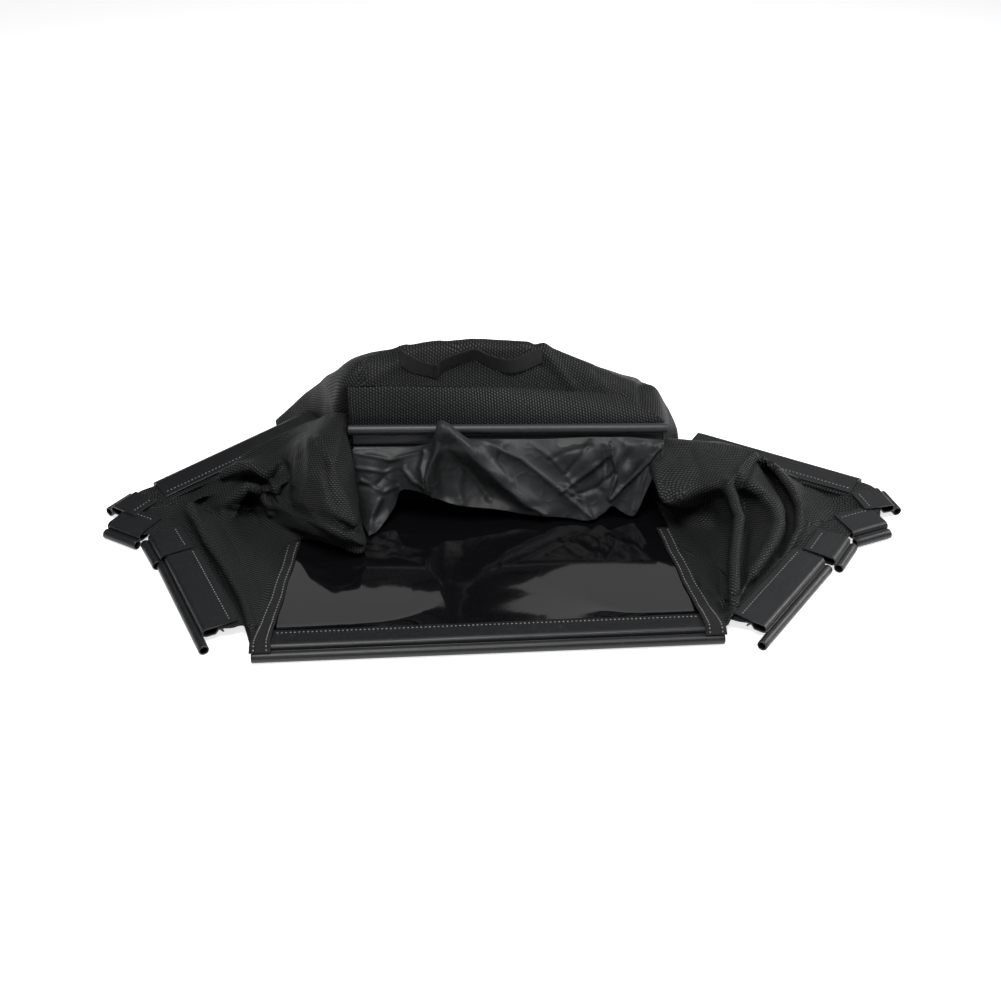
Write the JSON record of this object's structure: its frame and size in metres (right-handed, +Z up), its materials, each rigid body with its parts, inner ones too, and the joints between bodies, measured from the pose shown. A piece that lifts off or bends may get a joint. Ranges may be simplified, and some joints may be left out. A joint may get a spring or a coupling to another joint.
{
  "type": "mower grass collection bag",
  "caption": "Soft grass collection bag for a walk-behind mower, lying collapsed: mesh body, vinyl bottom, dust flap and a rim of plastic channels that clip on.",
  "frame": {"origin": "centre of the bag's plan outline, on the floor it lies on", "axes": "+X to the right as seen from the mouth, +Y from the mouth to the back, +Z up"},
  "size_m": [0.9074, 0.5144, 0.1816],
  "materials": {
    "channel_plastic": "satin extruded plastic",
    "vinyl": "glossy coated sheet",
    "mesh": "fine knitted mesh",
    "nylon": "thin coated nylon with a soft sheen",
    "webbing": "woven webbing"
  },
  "bodies": {
    "root": {"bottom_panel": "vinyl", "right_side_panel": "mesh", "left_side_panel": "mesh", "top_hem_panel": "mesh", "top_panel": "mesh", "rear_panel": "mesh", "dust_flap": "nylon", "left_seam_binding": "webbing", "right_seam_binding": "webbing", "handle_strap": "webbing", "bottom_channel": "channel_plastic", "top_channel": "channel_plastic", "right_lower_channel": "channel_plastic", "right_corner_channel_1": "channel_plastic", "right_corner_channel_2": "channel_plastic", "right_corner_channel_3": "channel_plastic", "right_upper_channel": "channel_plastic", "left_lower_channel": "channel_plastic", "left_corner_channel_1": "channel_plastic", "left_corner_channel_2": "channel_plastic", "left_corner_channel_3": "channel_plastic", "left_upper_channel": "channel_plastic"}
  },
  "joints": []
}
